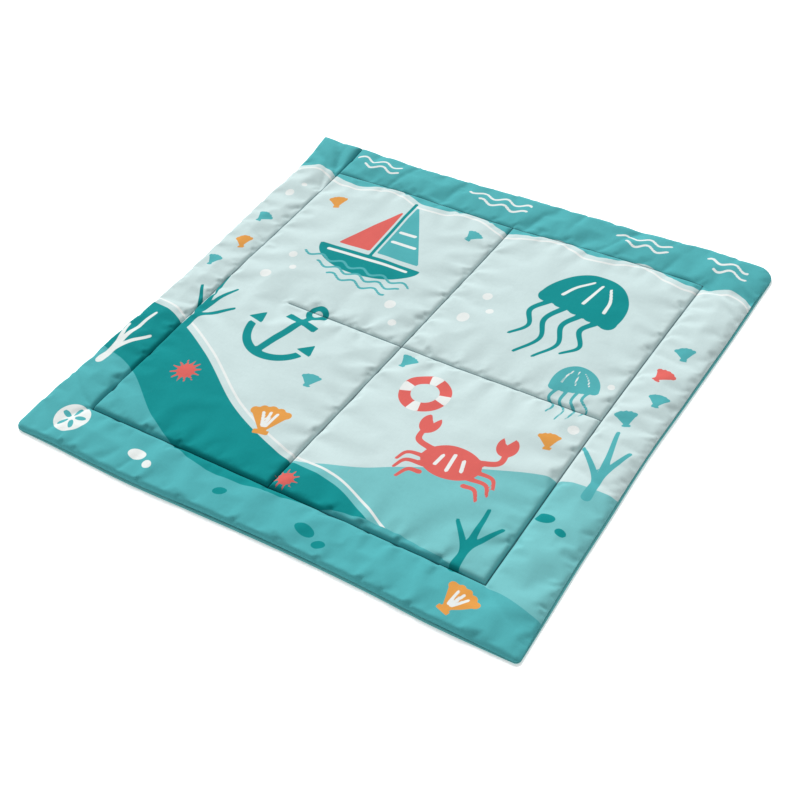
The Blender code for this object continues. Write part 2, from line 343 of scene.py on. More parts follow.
def rounded_corners(x, y):
    """Cloth coordinates with each square tip drawn in to its round corner."""
    x, y = x.copy(), y.copy()
    for side_x, side_y, radius, _ in CORNERS:
        a = side_x * x - (HALF - radius)
        b = side_y * y - (HALF - radius)
        tip = (a > 0) & (b > 0)
        keep = np.maximum(a, b)[tip] / np.hypot(a, b)[tip]
        x[tip] = side_x * (HALF - radius + a[tip] * keep)
        y[tip] = side_y * (HALF - radius + b[tip] * keep)
    return x, y


def plan(x, y):
    """Where points of the cloth lie on the floor."""
    round_x, round_y = rounded_corners(x, y)
    return guided(X_GUIDES, round_x, y), guided(Y_GUIDES, round_y, x)


def along_line(x, y, line):
    """How far along a straight line points are: 0 at its start and before, 1 at its end and past it."""
    start_x, start_y, end_x, end_y = line
    run_x, run_y = end_x - start_x, end_y - start_y
    return np.clip(((x - start_x) * run_x + (y - start_y) * run_y) / (run_x ** 2 + run_y ** 2), 0, 1)


def distance_to_line(x, y, line):
    """How far points are from a straight line with two ends."""
    start_x, start_y, end_x, end_y = line
    share = along_line(x, y, line)
    return np.hypot(x - start_x - share * (end_x - start_x), y - start_y - share * (end_y - start_y))


def side_of_line(x, y, line):
    """Which side of a line points are on: above 0 to its left."""
    start_x, start_y, end_x, end_y = line
    return (end_x - start_x) * (y - start_y) - (end_y - start_y) * (x - start_x)


def distance_to_seam(x, y):
    return np.min([distance_to_line(x, y, seam[1:5]) for seam in SEAMS], axis=0)


def bank(away):
    """Share of the bank's rise at a distance from a line of stitches: steep, then soon level."""
    reach = away / STEEP_REACH
    return reach / (1 + reach ** BANK_SHARPNESS) ** (1 / BANK_SHARPNESS)


def drawn_down(x, y, profile):
    """How far the padding is drawn down: 1 at a tight line of stitches, 0 away from every line.

    profile gives the share of the rise that is there at a distance from a line.
    """
    down = np.zeros_like(x)
    for side_x, side_y, softness in EDGES:
        to_edge = np.maximum(HALF - side_x * x - side_y * y, 0)
        down = np.maximum(down, 1 - profile(to_edge / softness))
    for _, *line, start_pull, end_pull in SEAMS:
        pull = start_pull + (end_pull - start_pull) * along_line(x, y, line)
        down = np.maximum(down, pull * (1 - profile(distance_to_line(x, y, line))))
    return down


def distance_to_edge(x, y):
    return np.maximum(HALF - np.maximum(abs(x), abs(y)), 0)


def near_corner(x, y, side_x, side_y):
    """1 at a corner of the cloth, falling to 0 away from it."""
    away = np.hypot(x - side_x * HALF, y - side_y * HALF)
    return np.exp(-(away / CORNER_REACH) ** 2)


def corner_share(x, y):
    """What part of the padding's crown is there: 1 except near the corners."""
    share = np.ones_like(x)
    for side_x, side_y, _, fullness in CORNERS:
        share += (fullness - 1) * near_corner(x, y, side_x, side_y)
    return share


def side_share(x, y, drop):
    """1 along the sides, falling by `drop` at the corners."""
    return 1 - drop * sum(near_corner(x, y, side_x, side_y) for side_x, side_y, _, _ in CORNERS)


def edge_lift(x, y):
    """How far the sewn outer edge is raised, less near the corners."""
    return EDGE_LIFT * side_share(x, y, CORNER_DROP)


def seam_inset(x, y):
    """How far the edge seam lies inside the outline, almost nothing at the corners."""
    uneven = 1 + INSET_UNEVEN * soft_noise(x, y, INSET_UNEVEN_LENGTH, INSET_SEED)
    return SEAM_INSET * side_share(x, y, INSET_CORNER_DROP) * uneven


def soft_noise(x, y, length, seed):
    """Smooth unevenness between about -1 and 1, with lumps of about this length."""
    cells = int(np.ceil(2.4 * HALF / length)) + 3
    values = np.random.default_rng(seed).uniform(-1, 1, (cells + 1, cells + 1))
    u = (x + 1.2 * HALF) / length
    v = (y + 1.2 * HALF) / length
    i, j = np.floor(u).astype(int), np.floor(v).astype(int)
    s, t = u - i, v - j
    s, t = s * s * (3 - 2 * s), t * t * (3 - 2 * t)
    low = values[i, j] * (1 - s) + values[i + 1, j] * s
    high = values[i, j + 1] * (1 - s) + values[i + 1, j + 1] * s
    return low * (1 - t) + high * t


# Heights of the panels


def crown(x, y):
    """Height of the padded face over the padding's flat underside."""
    to_seam = np.minimum(distance_to_seam(x, y), distance_to_edge(x, y))
    steep = STEEP_RISE * (1 - drawn_down(x, y, bank))
    slow = SLOW_RISE * (1 - np.exp(-to_seam / SLOW_REACH))
    crease = CREASE_RISE * drawn_down(x, y, lambda away: 1 - np.exp(-away / CREASE_REACH))
    room = 1 - np.exp(-to_seam / STEEP_REACH)
    rise = (steep + slow) * corner_share(x, y) + lumps(x, y) * room + CREASE_RISE - crease
    for *line, depth, width in FOLDS:
        rise -= depth * room * np.exp(-(distance_to_line(x, y, line) / width) ** 2)
    rise -= room * creases(x, y)
    drawn_up = GROOVE * np.exp(-distance_to_seam(x, y) / GROOVE_WIDTH)
    lift = edge_lift(x, y) * np.exp(-distance_to_edge(x, y) / EDGE_SOFTNESS)
    return np.maximum(drawn_up, lift) + PINCH + rise


def lumps(x, y):
    """Slow unevenness of the padding, and smaller dents in it."""
    turn = 2 * np.pi / LUMP_LENGTH
    slow = LUMP * np.sin(turn * x + LUMP_SLANT[0] * y) * np.cos(turn * y + LUMP_SLANT[1] * x)
    return slow + DENT * soft_noise(x, y, DENT_LENGTH, DENT_SEED)


def creases(x, y):
    """Depth of the sharp creases of the cloth: each has a line of points and fades along it."""
    depth = np.zeros_like(x)
    for start_depth, end_depth, left_width, right_width, *points in CREASES:
        runs = list(zip(points, points[1:]))
        nearest, here = np.full_like(x, 1.0), np.zeros_like(x)
        for k, (start, end) in enumerate(runs):
            line = (*start, *end)
            away = distance_to_line(x, y, line)
            width = np.where(side_of_line(x, y, line) > 0, left_width, right_width)
            share = (k + along_line(x, y, line)) / len(runs)
            deep = (start_depth + (end_depth - start_depth) * share) * np.exp(-away / width)
            here = np.where(away < nearest, deep, here)
            nearest = np.minimum(nearest, away)
        depth = np.maximum(depth, here)
    return depth


def underside_groove(x, y):
    """How far the stitches draw the flat underside up."""
    return GROOVE * np.clip(1 - distance_to_seam(x, y) / GROOVE_WIDTH, 0, 1)


# Meshes


def new_object(name, data):
    thing = bpy.data.objects.new(name, data)
    bpy.context.scene.collection.objects.link(thing)
    return thing


def piece_from(name, points, faces, material):
    """A shaded object from points and faces."""
    mesh = bpy.data.meshes.new(name)
    mesh.from_pydata(points, [], faces)
    mesh.shade_smooth()
    mesh.materials.append(material)
    return new_object(name, mesh)


def grid_points(marks):
    """Cloth coordinates of every crossing of the grid lines, as two flat arrays."""
    x, y = np.meshgrid(marks, marks, indexing="ij")
    return x.ravel(), y.ravel()


def grid_faces(count, first=0, upward=True):
    """The four-sided faces between neighbouring crossings of a grid."""
    i, j = np.meshgrid(np.arange(count - 1), np.arange(count - 1), indexing="ij")
    a = (first + i * count + j).ravel()
    loop = (a, a + count, a + count + 1, a + 1)
    return np.stack(loop if upward else loop[::-1], axis=1)


def grid_outline(count):
    """The outer crossings of a grid, once round, starting along its near side."""
    n = np.arange(count - 1)
    last = count - 1
    return np.concatenate((n * count, last * count + n, (last - n) * count + last, last - n))


def strips(loops):
    """Faces between loops of the same length, each loop next to the one before it."""
    faces = []
    for upper, lower in zip(loops, loops[1:]):
        faces.append(np.stack((upper, lower, np.roll(lower, -1), np.roll(upper, -1)), axis=1))
    return np.concatenate(faces)


def inset_points(x, y, inset):
    """Cloth coordinates of outline points moved in towards the middle."""
    keep = (HALF - inset) / HALF
    return x * keep, y * keep


def placed(x, y, z):
    """Points in the frame for cloth coordinates and heights over the floor."""
    plan_x, plan_y = plan(x, y)
    return np.stack((plan_x - MIDDLE[0], plan_y - MIDDLE[1], np.broadcast_to(z, x.shape)), axis=1)


# Wrinkles from a cloth simulation


def cubic_weights(marks):
    """How much each line of the simulated grid counts at these places, on a smooth curve."""
    at = (marks + HALF) / (2 * HALF) * (SIM_LINES - 1)
    k = np.clip(np.floor(at).astype(int), 0, SIM_LINES - 2)
    t = at - k
    shares = (
        -t / 2 + t ** 2 - t ** 3 / 2,
        1 - 2.5 * t ** 2 + 1.5 * t ** 3,
        t / 2 + 2 * t ** 2 - 1.5 * t ** 3,
        -t ** 2 / 2 + t ** 3 / 2,
    )
    weights = np.zeros((len(marks), SIM_LINES))
    for step, share in enumerate(shares, start=-1):
        np.add.at(weights, (np.arange(len(marks)), np.clip(k + step, 0, SIM_LINES - 1)), share)
    return weights


def sim_piece():
    """The padded face as an even grid, held at its seams and held softly by the padding between."""
    x, y = grid_points(np.linspace(-HALF, HALF, SIM_LINES))
    start = placed(x, y, BACK_THICKNESS + GAP + crown(x, y))
    mesh = bpy.data.meshes.new("simulated")
    mesh.from_pydata(start, [], grid_faces(SIM_LINES).tolist())
    piece = new_object("simulated", mesh)
    to_seam = np.minimum(distance_to_seam(x, y), distance_to_edge(x, y))
    hold = SIM_PADDING_HOLD + (1 - SIM_PADDING_HOLD) * (to_seam < SIM_HELD_REACH)
    uneven = 1 - SIM_UNEVEN + SIM_UNEVEN * soft_noise(x, y, SIM_UNEVEN_LENGTH, SPARE_SEED)
    spare = np.exp(-to_seam / SIM_GATHER_REACH) * uneven
    for name, shares in (("held", hold), ("without_spare", 1 - spare)):
        group = piece.vertex_groups.new(name=name)
        for k, share in enumerate(shares.tolist()):
            group.add([k], share, "REPLACE")
    return piece, start


def wrinkles(marks):
    """How far the settled cloth has moved at each crossing of these grid lines."""
    piece, start = sim_piece()
    cloth = piece.modifiers.new("cloth", "CLOTH")
    for name, value in SIM_SETTINGS.items():
        setattr(cloth.settings, name, value)
    cloth.settings.effector_weights.gravity = 0.0
    cloth.collision_settings.use_collision = False
    cloth.point_cache.frame_start = 1
    cloth.point_cache.frame_end = SIM_FRAMES
    scene = bpy.context.scene
    for number in range(1, SIM_FRAMES + 1):
        scene.frame_set(number)
    settled = piece.evaluated_get(bpy.context.evaluated_depsgraph_get()).data
    end = np.zeros(3 * len(start))
    settled.vertices.foreach_get("co", end)
    scene.frame_set(1)
    bpy.data.objects.remove(piece)
    moved = end.reshape(-1, 3) - start
    length = np.linalg.norm(moved, axis=1, keepdims=True)
    moved *= np.minimum(1, SIM_CAP / np.maximum(length, 1e-9))
    weights = cubic_weights(marks)
    moved = moved.reshape(SIM_LINES, SIM_LINES, 3)
    return np.einsum("ia,jb,abc->ijc", weights, weights, moved, optimize=True).reshape(-1, 3)


def hidden_side(outline, marks, first):
    """The front panel's underside: few faces, as the back panel covers it.

    outline is the rim's lowest loop, and marks are the fine grid lines. Returns the points, and
    the faces, whose first new point has the number `first`.
    """
    coarse = grid_lines(HIDDEN_BESIDE, HIDDEN_SPACING)
    picks = np.unique([int(np.abs(marks - mark).argmin()) for mark in coarse])[1:-1]
    count, last = len(picks), len(marks) - 1
    x, y = grid_points(marks[picks])
    points = placed(x, y, BACK_THICKNESS + GAP + underside_groove(x, y))
    faces = grid_faces(count, first, upward=False).tolist()
    inner = first + np.arange(count ** 2).reshape(count, count)
    forth, back = picks, last - picks[::-1]
    sides = ((forth, inner[:, 0]), (forth, inner[-1]), (back, inner[::-1, -1]), (back, inner[0, ::-1]))
    stations = []
    for turn, (steps, inside) in enumerate(sides):
        stations += zip((turn * last + steps).tolist(), inside.tolist())
    for (start, inside), (end, next_inside) in zip(stations, stations[1:] + stations[:1]):
        if end < start:
            end += 4 * last
        run = [int(outline[k % (4 * last)]) for k in range(start, end + 1)]
        ends = [next_inside] if inside == next_inside else [next_inside, inside]
        faces.append((run + ends)[::-1])
    return points, faces


def front_cloth(material):
    """The printed, padded front panel, closed at its rim and underneath."""
    marks = grid_lines(FINE_BESIDE, FINE_SPACING)
    x, y = grid_points(marks)
    top = BACK_THICKNESS + GAP + crown(x, y)
    drawn_in = seam_inset(x, y) * np.exp(-distance_to_edge(x, y) / INSET_REACH)
    points = [placed(*inset_points(x, y, drawn_in), top) + wrinkles(marks)]
    rim = grid_outline(len(marks))
    rim_x, rim_y = x[rim], y[rim]
    loops, cloth, total = [rim], [np.stack((x, y), axis=1)], len(x)
    for inset, drop in FRONT_RIM:
        inner = inset_points(rim_x, rim_y, inset + seam_inset(rim_x, rim_y))
        points.append(placed(*inner, top[rim] - drop))
        cloth.append(cloth[0][rim])
        loops.append(total + np.arange(len(rim)))
        total += len(rim)
    under_points, under_faces = hidden_side(loops[-1], marks, total)
    points.append(under_points)
    cloth.append(np.zeros((len(under_points), 2)))
    faces = grid_faces(len(marks)).tolist() + strips(loops).tolist() + under_faces
    piece = piece_from("front_cloth", np.concatenate(points), faces, material)
    x, y = np.concatenate(cloth).T
    # the distance to the nearest seam is kept as "crease", for the painted shade in the creases
    store_cloth(piece, x, y, printed(x, y) | {"crease": distance_to_seam(x, y)})
    return piece


def store_cloth(piece, x, y, distances):
    """Keep each point's cloth coordinates and distances, for the weave, the print and the painted shade
    in the creases.
    """
    held = piece.data.attributes.new("cloth", "FLOAT_VECTOR", "POINT")
    held.data.foreach_set("vector", np.stack((x, y, np.zeros_like(x)), axis=1).ravel())
    for name, distance in distances.items():
        held = piece.data.attributes.new(name, "FLOAT", "POINT")
        held.data.foreach_set("value", distance.astype(np.float32))


def back_cloth(material):
    """The plain back panel: a thin sheet, flat on the floor, turned up at its rim to the edge seam."""
    marks = grid_lines(BACK_BESIDE, BACK_SPACING)
    x, y = grid_points(marks)
    to_edge = distance_to_edge(x, y)
    along, *columns = np.array(BACK_RIM).T
    reach = along[-1]
    inset, seam_part, height_part = (np.interp(to_edge, along, column) for column in columns)
    from_middle = np.maximum(HALF - to_edge, HALF - reach)
    keep = (HALF - inset - seam_inset(x, y) * seam_part) / from_middle
    low = np.maximum(underside_groove(x, y), (edge_lift(x, y) + BACK_THICKNESS) * height_part)
    keep_inner = keep - np.interp(to_edge, (0, reach), (RIM_IN, 0)) / from_middle
    high = low + np.interp(to_edge, (0, reach), (RIM_UP, BACK_THICKNESS))
    points = placed(x * keep, y * keep, low), placed(x * keep_inner, y * keep_inner, high)
    outline = grid_outline(len(marks))
    faces = grid_faces(len(marks), upward=False).tolist()
    faces += grid_faces(len(marks), first=len(x)).tolist()
    faces += strips([outline + len(x), outline]).tolist()
    piece = piece_from("back_cloth", np.concatenate(points), faces, material)
    store_cloth(piece, np.tile(x, 2), np.tile(y, 2), {})
    return piece


def stitches(material):
    """Every stitch of the quilting, on the face and underneath, as one mesh."""
    points = []
    for _, *line, _, _ in SEAMS:
        start, end = np.array(line[:2]), np.array(line[2:])
        length = np.linalg.norm(end - start)
        count = int(length / STITCH_PITCH)
        x, y = (start + (end - start) * ((np.arange(count) + 0.5) / count)[:, None]).T
        step_x, step_y = (end - start) / length * SHORT_STEP
        at_x, at_y = plan(x, y)
        ahead_x, ahead_y = plan(x + step_x, y + step_y)
        heading = np.arctan2(ahead_y - at_y, ahead_x - at_x)
        face_height = BACK_THICKNESS + GAP + crown(x, y) + STITCH_RADIUS
        points.append(stitch_points(at_x, at_y, face_height, heading, 1))
        points.append(stitch_points(at_x, at_y, np.full(count, GROOVE - STITCH_RADIUS), heading, -1))
    points = np.concatenate(points) - (*MIDDLE, 0.0)
    one = stitch_faces()
    firsts = range(0, len(points), len(STITCH_RINGS) * STITCH_SIDES)
    faces = [[first + k for k in face] for first in firsts for face in one]
    return piece_from("stitches", points, faces, material)


def stitch_points(x, y, z, heading, side):
    """Points of the stitches at these places, ring by ring, arched up from the cloth by `side`."""
    x, y, z, heading = (part[:, None, None] for part in (x, y, z, heading))
    along, share, arch = np.array(STITCH_RINGS).T[:, :, None]
    turns = 2 * np.pi * np.arange(STITCH_SIDES) / STITCH_SIDES
    along = STITCH_LENGTH / 2 * along
    across = STITCH_RADIUS * share * np.cos(turns)
    up = STITCH_RADIUS * (share * np.sin(turns) + side * arch)
    return np.stack((
        x + along * np.cos(heading) - across * np.sin(heading),
        y + along * np.sin(heading) + across * np.cos(heading),
        z + up,
    ), axis=-1).reshape(-1, 3)


def stitch_faces():
    """Faces of one stitch: its sides and its two ends."""
    rings = np.arange(len(STITCH_RINGS) * STITCH_SIDES).reshape(-1, STITCH_SIDES)
    return strips(rings[::-1]).tolist() + [rings[0][::-1].tolist(), rings[-1].tolist()]


# The print


def smooth_path(points, steps=8):
    """Points of a smooth curve through a few points."""
    points = np.array(points, float)
    knots = np.arange(len(points))
    at = np.linspace(0, len(points) - 1, steps * (len(points) - 1) + 1)
    columns = [smooth_curve(np.stack((knots, column), axis=1), at) for column in points.T]
    return np.stack(columns, axis=1)


class Print:
    """The coloured layers of the print, drawn in metres of cloth or in the units of a motif.

    A shape is its signed distance at every point, below 0 inside.
    """

    def __init__(self, x, y, unit=1.0, layers=None):
        self.x, self.y, self.unit = x, y, unit
        self.layers = layers or {name: np.full_like(x, FAR_AWAY) for name, _ in PRINT_COLOURS}

    def motif(self, at, size=1.0, angle=0.0):
        """The same print in the own coordinates of a motif, which is moved, scaled and turned."""
        x, y = (self.x - at[0]) / size, (self.y - at[1]) / size
        cos, sin = np.cos(angle), np.sin(angle)
        return Print(x * cos + y * sin, y * cos - x * sin, self.unit * size, self.layers)

    def add(self, layer, *shapes):
        for shape in shapes:
            self.layers[layer] = np.minimum(self.layers[layer], shape * self.unit)

    def cut(self, layer, shape):
        self.layers[layer] = np.maximum(self.layers[layer], -shape * self.unit)

    def disc(self, at, radius):
        return np.hypot(self.x - at[0], self.y - at[1]) - radius

    def oval(self, at, half_sizes, angle=0.0):
        own = self.motif(at, 1.0, angle)
        a, b = half_sizes
        reach = np.hypot(own.x / a, own.y / b)
        slope = np.hypot(own.x / a ** 2, own.y / b ** 2)
        return reach * (reach - 1) / np.maximum(slope, 1e-6)

    def stroke(self, path, start_width, end_width=None):
        """A brush stroke along a path, with its width at the start and the end."""
        end_width = start_width if end_width is None else end_width
        widths = np.linspace(start_width, end_width, len(path)) / 2
        nearest = np.full_like(self.x, np.inf)
        for k, (start, end) in enumerate(zip(path, path[1:])):
            line = (*start, *end)
            share = along_line(self.x, self.y, line)
            away = distance_to_line(self.x, self.y, line)
            nearest = np.minimum(nearest, away - widths[k] * (1 - share) - widths[k + 1] * share)
        return nearest

    def polygon(self, corners):
        nearest, inside = np.full_like(self.x, np.inf), np.zeros(self.x.shape, bool)
        for (ax, ay), (bx, by) in zip(corners, corners[1:] + corners[:1]):
            nearest = np.minimum(nearest, distance_to_line(self.x, self.y, (ax, ay, bx, by)))
            if ay != by:
                crosses = (ay > self.y) != (by > self.y)
                inside ^= crosses & (self.x < (bx - ax) * (self.y - ay) / (by - ay) + ax)
        return np.where(inside, -nearest, nearest)

    def beyond_curve(self, rows):
        """How far towards the far side points are from a smooth curve across the cloth."""
        height = smooth_curve(rows, self.x)
        slope = (smooth_curve(rows, self.x + SHORT_STEP) - height) / SHORT_STEP
        return (self.y - height) / np.hypot(1, slope)


# Where the sea ends along the far side, and the crests of the sand dunes along the near side
# place from left to right, height towards the far side
SEA_EDGE = (
    (-0.52, 0.372), (-0.44, 0.398), (-0.35, 0.372), (-0.26, 0.398), (-0.17, 0.374), (-0.08, 0.4),
    (0.01, 0.376), (0.1, 0.402), (0.19, 0.378), (0.28, 0.404), (0.37, 0.38), (0.46, 0.404),
    (0.52, 0.384),
)
LIGHT_CREST = (
    (-0.52, -0.3), (-0.3, -0.33), (-0.1, -0.35), (0.08, -0.31), (0.24, -0.225),
    (0.38, -0.165), (0.52, -0.15),
)
DARK_CREST = (
    (-0.52, -0.12), (-0.42, -0.135), (-0.3, -0.195), (-0.16, -0.285), (-0.04, -0.33),
    (0.1, -0.35), (0.25, -0.42), (0.52, -0.56),
)
FRONT_CREST = (
    (-0.52, -0.26), (-0.4, -0.29), (-0.28, -0.37), (-0.14, -0.42), (0.02, -0.415),
    (0.18, -0.385), (0.34, -0.395), (0.52, -0.43),
)


def jellyfish(own, colour, detail):
    """A bell with a scalloped hem, ribs and wavy arms; its bell is about 1 wide."""
    bell = np.maximum(own.oval((0, 0), (0.42, 0.46)), -0.06 - own.y)
    own.add(colour, bell, *(own.disc((k * 0.168, -0.05), 0.088) for k in range(-2, 3)))
    arms = (
        ((-0.26, -0.10), (-0.34, -0.30), (-0.22, -0.48), (-0.30, -0.66)),
        ((-0.09, -0.10), (-0.15, -0.34), (-0.03, -0.56), (-0.12, -0.82)),
        ((0.09, -0.10), (0.03, -0.32), (0.15, -0.54), (0.06, -0.78)),
        ((0.26, -0.10), (0.20, -0.28), (0.33, -0.46), (0.24, -0.62)),
    )
    for arm in arms:
        own.add(colour, own.stroke(smooth_path(arm), 0.065, 0.030))
    for foot in (-0.23, 0.0, 0.23):
        rib = smooth_path(((foot, 0.04), (0.82 * foot, 0.19), (0.40 * foot, 0.34)))
        own.add(detail, own.stroke(rib, 0.036, 0.026))


def sailboat(own):
    """A small boat with two sails; its own height is about 1."""
    hull = np.maximum(own.oval((0, -0.18), (0.46, 0.26)), own.y + 0.18)
    own.add("dark", hull, own.stroke(((0, -0.20), (0, 0.62)), 0.030))
    own.add("mid", own.polygon(((0.045, -0.12), (0.045, 0.56), (0.40, -0.12))) - 0.0106)
    own.add("coral", own.polygon(((-0.045, -0.12), (-0.045, 0.44), (-0.31, -0.12))) - 0.0106)
    for height, end in ((0.06, 0.28), (0.20, 0.21)):
        own.add("pale", own.stroke(((0.075, height), (end, height)), 0.032))
    own.add("pale", own.stroke(((-0.36, -0.235), (0.36, -0.235)), 0.030))


def ripples(own, width, rows, layer):
    """Short wavy lines under one another, as water is drawn."""
    for row in range(rows):
        reach = width * (1 - 0.22 * row) / 2
        along = np.linspace(-reach, reach, 41)
        wave = 0.0055 * np.sin(2 * np.pi * along / 0.046 + 1.4 * row)
        path = np.stack((along + 0.012 * row, wave - 0.019 * row), axis=1)
        own.add(layer, own.stroke(path, 0.0052))


def crab(own):
    """A crab seen from above, without a face; its own width is about 1."""
    own.add("coral", own.oval((0, 0), (0.27, 0.19)))
    for side in (-1, 1):
        arm = smooth_path(((side * 0.20, 0.08), (side * 0.37, 0.15), (side * 0.38, 0.30)))
        own.add("coral", own.stroke(arm, 0.065, 0.05))
        claw = own.motif((side * 0.36, 0.36))
        notch = np.maximum(abs(claw.x + side * 0.02) - 0.55 * (claw.y - 0.01), -claw.y)
        claw.add("coral", np.maximum(claw.oval((0, 0), (0.095, 0.12)), -notch))
        for k, reach in enumerate((0.44, 0.42, 0.36)):
            low = -0.02 - 0.09 * k
            leg = ((side * 0.20, low), (side * (reach - 0.06), low - 0.01), (side * reach, low - 0.12))
            own.add("coral", own.stroke(smooth_path(leg), 0.05, 0.028))
    for foot in (-0.12, 0.0, 0.12):
        mark = ((foot, -0.10 + abs(foot) * 0.3), (foot * 0.8, 0.09 - abs(foot) * 0.3))
        own.add("pale", own.stroke(mark, 0.034))


def scallop_shell(own, colour, detail=None):
    """A fan-shaped shell with ribs; its own width is about 1."""
    fan = np.maximum(own.disc((0, -0.30), 0.72), abs(own.x) - 0.72 * (own.y + 0.36))
    foot = np.maximum(abs(own.x) - 0.17, abs(own.y + 0.31) - 0.06)
    turns = np.radians((-32, -16, 0, 16, 32))
    lobes = (own.disc((0.66 * np.sin(t), -0.30 + 0.66 * np.cos(t)), 0.105) for t in turns)
    own.add(colour, fan, foot, *lobes)
    if detail is None:
        return
    for t in turns[1:-1]:
        rib = ((0.16 * np.sin(t), -0.13), (0.56 * np.sin(t), -0.30 + 0.57 * np.cos(t)))
        own.add(detail, own.stroke(rib, 0.068))


def anchor(own, colour):
    """An anchor; its own height is about 1."""
    ring = abs(own.disc((0, 0.40), 0.085)) - 0.032
    shank = np.maximum(abs(own.x) - 0.042, abs(own.y + 0.04) - 0.37)
    stock = np.maximum(abs(own.x) - 0.21, abs(own.y - 0.20) - 0.040)
    arms = np.maximum(abs(own.disc((0, -0.04), 0.37)) - 0.045, own.y + 0.14)
    flukes = (own.polygon(((s * 0.27, -0.10), (s * 0.37, 0.06), (s * 0.47, -0.10))) for s in (-1, 1))
    own.add(colour, ring, shank, stock, arms, *flukes)


def life_ring(own):
    """A ring in two colours; its own mean radius is 1."""
    away = np.hypot(own.x, own.y)
    ring = abs(away - 1) - 0.30
    quarter = np.pi / 2
    part = abs((np.arctan2(own.y, own.x) / quarter + 0.5) % 1 - 0.5) * quarter
    own.add("coral", ring)
    own.add("pale", np.maximum(ring - 0.011, (part - 0.26) * away))


def grass(own, blades, layer):
    """A tuft of long blades from one root: each blade's lean and height."""
    for lean, height in blades:
        blade = smooth_path(((0, 0), (0.10 * lean, 0.45 * height), (lean, height)))
        own.add(layer, own.stroke(blade, 0.017, 0.0065))


def sand_dollar(own, layer):
    """A round shell with five open petals; its own radius is 1."""
    own.add(layer, own.disc((0, 0), 1))
    for k in range(5):
        turn = 2 * np.pi * k / 5 + 0.3
        own.cut(layer, own.oval((0.50 * np.cos(turn), 0.50 * np.sin(turn)), (0.32, 0.15), turn))


def urchin(own, spines, layer):
    """A ball with short spines; the ball's own radius is 1."""
    own.add(layer, own.disc((0, 0), 1))
    for k in range(spines):
        turn = 2 * np.pi * k / spines
        way = np.array((np.cos(turn), np.sin(turn)))
        own.add(layer, own.stroke((way, way * 1.75), 0.30, 0.16))


# Small things of the print
# x, y, radius
BUBBLES = (
    (-0.335, 0.045, 0.011), (-0.3, 0.085, 0.007), (-0.322, 0.118, 0.0085), (0.06, 0.115, 0.012),
    (0.095, 0.15, 0.0075), (0.07, 0.185, 0.0095), (-0.045, 0.04, 0.008), (-0.075, 0.08, 0.011),
    (0.372, -0.048, 0.01), (0.38, 0.075, 0.0065), (-0.455, 0.29, 0.01), (-0.44, 0.325, 0.0065),
)
# x, y, half length, half width, angle, layer
PEBBLES = (
    (-0.38, -0.345, 0.017, 0.01, 0.3, "light_dune"), (-0.345, -0.362, 0.011, 0.007, -0.2, "light_dune"),
    (-0.245, -0.45, 0.018, 0.011, 0.1, "pale"), (-0.212, -0.462, 0.011, 0.008, -0.4, "pale"),
    (0.11, -0.455, 0.019, 0.011, -0.2, "dark"), (0.145, -0.47, 0.012, 0.008, 0.3, "dark"),
    (0.42, -0.245, 0.016, 0.01, 0.2, "dark"), (0.453, -0.262, 0.01, 0.007, -0.3, "dark"),
    (-0.06, -0.452, 0.013, 0.008, 0.4, "dark"),
)
# x, y, size, angle, layer
SMALL_SHELLS = (
    (0.452, 0.205, 0.04, 0.3, "mid"), (0.443, 0.135, 0.044, -0.35, "coral"),
    (0.463, 0.075, 0.04, 0.1, "mid"), (0.437, 0.015, 0.042, 0.45, "mid"),
    (-0.452, 0.19, 0.042, -0.2, "mid"), (-0.44, 0.105, 0.044, 0.35, "orange"),
    (-0.462, 0.03, 0.04, 0.0, "mid"), (0.036, -0.036, 0.04, -0.25, "mid"),
    (0.35, -0.095, 0.044, 0.3, "orange"), (-0.085, -0.165, 0.042, 0.2, "mid"),
    (-0.34, 0.3, 0.042, 0.35, "orange"), (-0.05, 0.33, 0.04, -0.3, "mid"),
)
# x, y of the root, then lean and height of each blade, layer
GRASS = (
    ((-0.385, -0.155), ((-0.045, 0.115), (-0.012, 0.165), (0.03, 0.135), (0.06, 0.085)), "dark"),
    ((-0.47, -0.3), ((-0.02, 0.105), (0.012, 0.15), (0.045, 0.095)), "pale"),
    ((0.455, -0.175), ((-0.05, 0.1), (-0.015, 0.155), (0.022, 0.12)), "mid"),
    ((0.345, -0.4), ((-0.04, 0.085), (-0.006, 0.125), (0.032, 0.1)), "dark"),
)


